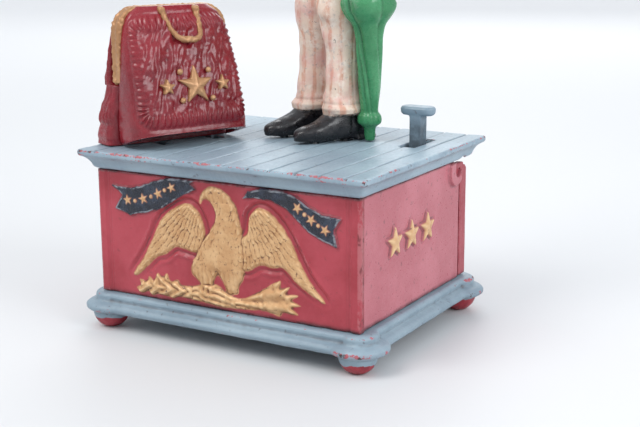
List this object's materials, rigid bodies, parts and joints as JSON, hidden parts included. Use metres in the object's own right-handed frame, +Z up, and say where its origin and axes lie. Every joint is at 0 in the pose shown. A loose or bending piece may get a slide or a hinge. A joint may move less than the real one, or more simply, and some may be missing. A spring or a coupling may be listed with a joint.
{
  "type": "mechanical coin bank",
  "caption": "Cast-iron mechanical coin bank: pressing a lever lowers a standing figure's arm, nods its bearded jaw and opens the satchel over the coin box.",
  "frame": {"origin": "on the table, at the centre of the base's plan", "axes": "+Z up, +X towards the box's right-hand end as seen from the front, +Y towards the back where the coin door is"},
  "size_m": [0.1364, 0.1088, 0.2869],
  "materials": {
    "red_paint": "aged satin paint on cast iron",
    "blue_grey_paint": "aged satin paint on cast iron",
    "satchel_paint": "glossy paint on cast iron",
    "coat_paint": "satin paint on cast iron",
    "green_paint": "glossy paint on cast iron",
    "beard_paint": "satin paint on cast iron",
    "steel": "bare wire and screws",
    "brass": "turned, dulled"
  },
  "bodies": {
    "bank": {"base_plate": "blue_grey_paint", "front_plate": "red_paint", "left_plate": "red_paint", "right_plate": "red_paint", "lid": "blue_grey_paint", "tie_screw_1": "steel", "tie_screw_2": "steel", "figure_front": "coat_paint", "figure_back": "coat_paint", "figure_rivet_1": "steel", "figure_rivet_2": "steel", "figure_screw_1": "steel", "figure_screw_2": "steel", "umbrella": "green_paint", "jaw_pin": "steel", "satchel_back": "satchel_paint", "satchel_screw_1": "steel", "satchel_screw_2": "steel", "return_spring": "steel"},
    "rear_door": {"rear_door": "red_paint", "lock_barrel": "brass", "lock_nut": "brass"},
    "lock": {"lock_plug": "brass", "lock_cam": "steel"},
    "lever": {"press_lever": "blue_grey_paint", "rocker_shaft": "steel", "push_rod_arm": "steel", "satchel_arm": "steel"},
    "right_arm": {"right_arm": "coat_paint", "arm_shaft": "steel", "arm_crank": "steel"},
    "push_rod": {"push_rod": "steel", "push_rod_nut": "steel"},
    "jaw": {"beard_jaw": "beard_paint"},
    "satchel_front": {"satchel_front": "satchel_paint", "satchel_pin": "steel", "satchel_crank": "steel"},
    "satchel_link": {"satchel_link": "steel"}
  },
  "joints": [
    {"name": "lever_press", "type": "hinge", "parent": "bank", "child": "lever", "pos_m": [0, -0.014, 0.05], "axis": [-1, 0, 0], "range_deg": [0, 14], "stiffness_Nm_per_rad": 0.6, "springref_deg": -22.92, "deforming": ["return_spring"]},
    {"name": "push_rod_slide", "type": "slide", "parent": "bank", "child": "push_rod", "axis": [0, 0, -1], "range_m": [0, 0.0074]},
    {"name": "arm_drop", "type": "hinge", "parent": "bank", "child": "right_arm", "pos_m": [0.0097, 0.02123, 0.2115], "axis": [0.866, -0.5, 0], "range_deg": [0, 52.5]},
    {"name": "jaw_nod", "type": "hinge", "parent": "bank", "child": "jaw", "pos_m": [0.0087, 0.0195, 0.2425], "axis": [0.866, -0.5, 0], "range_deg": [0, 6.6]},
    {"name": "satchel_open", "type": "hinge", "parent": "bank", "child": "satchel_front", "pos_m": [-0.0512, -0.0409, 0.066], "axis": [0.4067, 0.9135, 0], "range_deg": [0, 13.2]},
    {"name": "link_slide", "type": "slide", "parent": "bank", "child": "satchel_link", "axis": [0, 0, -1], "range_m": [0, 0.0044]},
    {"name": "door_swing", "type": "hinge", "parent": "bank", "child": "rear_door", "pos_m": [0, 0.0362, 0.0613], "axis": [1, 0, 0], "range_deg": [0, 37]},
    {"name": "lock_turn", "type": "hinge", "parent": "rear_door", "child": "lock", "pos_m": [0, 0.033, 0.031], "axis": [0, 1, 0], "range_deg": [0, 90]}
  ],
  "couplings": [
    {"joint": "push_rod_slide", "follows": "lever_press", "m_per_rad": 0.02963},
    {"joint": "arm_drop", "follows": "lever_press", "ratio": 3.7143},
    {"joint": "jaw_nod", "follows": "lever_press", "ratio": 0.46429},
    {"joint": "satchel_open", "follows": "lever_press", "ratio": 0.92857},
    {"joint": "link_slide", "follows": "lever_press", "m_per_rad": 0.017516}
  ]
}
